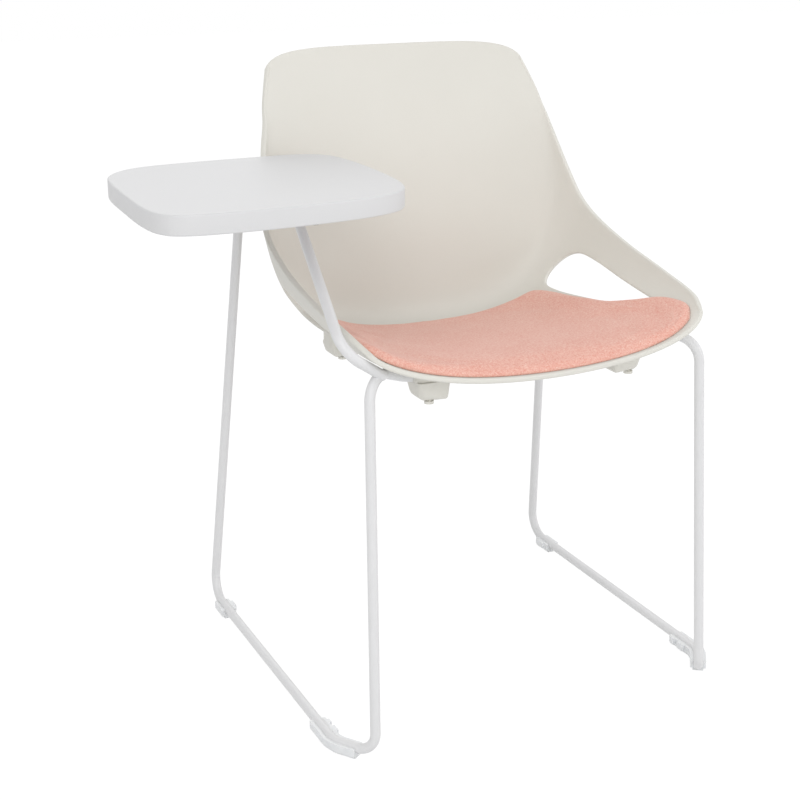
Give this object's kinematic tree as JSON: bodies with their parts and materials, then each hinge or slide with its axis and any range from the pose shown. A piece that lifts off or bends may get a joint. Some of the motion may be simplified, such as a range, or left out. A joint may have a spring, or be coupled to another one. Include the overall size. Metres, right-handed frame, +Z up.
{
  "type": "tablet arm chair",
  "caption": "Moulded seat and back with a bonded pad on a bent rod sled frame, with a writing tablet that tips outwards on a rail.",
  "frame": {"origin": "middle of the whole footprint, tablet included, on the floor", "axes": "+Z up, the chair faces -Y, and +X is towards the sitter's left; the tablet is on the -X side"},
  "size_m": [0.7041, 0.486, 0.7645],
  "materials": {
    "shell_plastic": "fine matt moulded polypropylene, warm grey",
    "pad_fabric": "woven wool felt, salmon melange",
    "pad_board": "plain moulded board",
    "frame_paint": "satin powder coat, off white",
    "screw_steel": "zinc plated",
    "glide_plastic": "translucent natural nylon",
    "tablet_plastic": "fine matt moulded plastic, light grey",
    "bush_plastic": "natural acetal",
    "bumper_rubber": "matt"
  },
  "bodies": {
    "chair": {"shell": "shell_plastic", "seat_pad": "pad_fabric", "pad_board": "pad_board", "plain_side_frame": "frame_paint", "tablet_side_frame": "frame_paint", "front_cross_tube": "frame_paint", "rear_cross_tube": "frame_paint", "seat_stay": "frame_paint", "boss_front_left": "shell_plastic", "boss_front_right": "shell_plastic", "boss_rear_left": "shell_plastic", "boss_rear_right": "shell_plastic", "clip_front_left": "shell_plastic", "clip_front_right": "shell_plastic", "clip_rear_left": "shell_plastic", "clip_rear_right": "shell_plastic", "clip_screws": "screw_steel", "glide_front_left": "glide_plastic", "glide_front_right": "glide_plastic", "glide_rear_left": "glide_plastic", "glide_rear_right": "glide_plastic", "tilt_stop": "frame_paint"},
    "tablet": {"tablet_top": "tablet_plastic", "tablet_base": "tablet_plastic", "tablet_screws": "screw_steel", "hinge_block_front": "tablet_plastic", "hinge_block_rear": "tablet_plastic", "hinge_cap_front": "tablet_plastic", "hinge_cap_rear": "tablet_plastic", "hinge_screws": "screw_steel", "hinge_bushes": "bush_plastic", "tablet_bumper": "bumper_rubber"}
  },
  "joints": [
    {"name": "tablet_tip", "type": "hinge", "parent": "chair", "child": "tablet", "pos_m": [-0.1401, 0.0482, 0.611], "axis": [0, -1, 0], "range_deg": [0, 75]}
  ]
}
